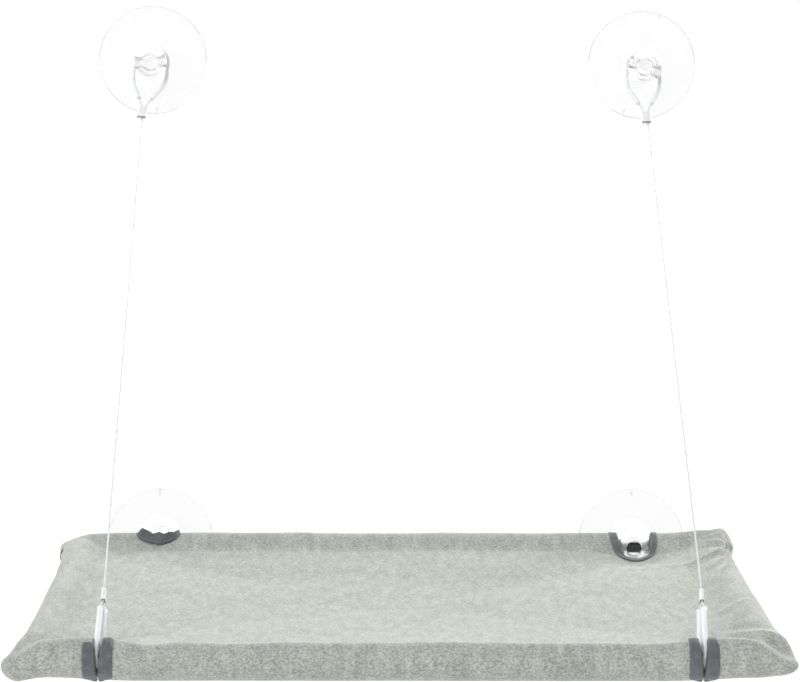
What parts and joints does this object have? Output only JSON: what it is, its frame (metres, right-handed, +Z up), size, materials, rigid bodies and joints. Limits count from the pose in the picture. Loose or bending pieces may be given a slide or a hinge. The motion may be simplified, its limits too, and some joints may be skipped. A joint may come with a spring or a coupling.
{
  "type": "window mounted cat perch",
  "caption": "Padded cat bed on a steel tube frame, hinged in suction cups at the window and hung by slanting wire cables from suction cups above it.",
  "frame": {"origin": "the point of the window plane midway between the lower suction cups, on the level of the rear frame tube that the bed folds about", "axes": "+Z up along the window, +Y from the room into the window, so the bed reaches towards -Y, and +X to the right as seen from the room"},
  "size_m": [0.509, 0.3732, 0.443],
  "materials": {
    "cup_vinyl": "gloss",
    "frame_coat": "satin",
    "spigot_steel": "satin",
    "cover_cloth": "matte",
    "pad_foam": "matte",
    "binding_tape": "satin",
    "cable_wire": "gloss",
    "sleeve_vinyl": "gloss",
    "ferrule_aluminium": "satin"
  },
  "bodies": {
    "window_side": {"upper_left_suction_cup": "cup_vinyl", "upper_right_suction_cup": "cup_vinyl", "lower_left_suction_cup": "cup_vinyl", "lower_right_suction_cup": "cup_vinyl", "upper_left_wire_loop": "cable_wire", "upper_right_wire_loop": "cable_wire", "upper_left_loop_sleeve": "sleeve_vinyl", "upper_right_loop_sleeve": "sleeve_vinyl", "upper_left_ferrule": "ferrule_aluminium", "upper_right_ferrule": "ferrule_aluminium", "left_cable": "cable_wire", "right_cable": "cable_wire"},
    "bed": {"rear_frame_tube": "frame_coat", "front_frame_tube": "frame_coat", "left_frame_spigot": "spigot_steel", "right_frame_spigot": "spigot_steel", "bed_cover": "cover_cloth", "seat_pad": "pad_foam", "left_cutout_binding": "binding_tape", "right_cutout_binding": "binding_tape", "left_slit_binding": "binding_tape", "right_slit_binding": "binding_tape", "lower_left_wire_loop": "cable_wire", "lower_right_wire_loop": "cable_wire", "lower_left_loop_sleeve": "sleeve_vinyl", "lower_right_loop_sleeve": "sleeve_vinyl", "lower_left_ferrule": "ferrule_aluminium", "lower_right_ferrule": "ferrule_aluminium"}
  },
  "joints": [
    {"name": "bed_fold", "type": "hinge", "parent": "window_side", "child": "bed", "pos_m": [0, -0.025, 0], "axis": [-1, 0, 0], "range_deg": [0, 80], "deforming": ["left_cable", "right_cable"]}
  ]
}
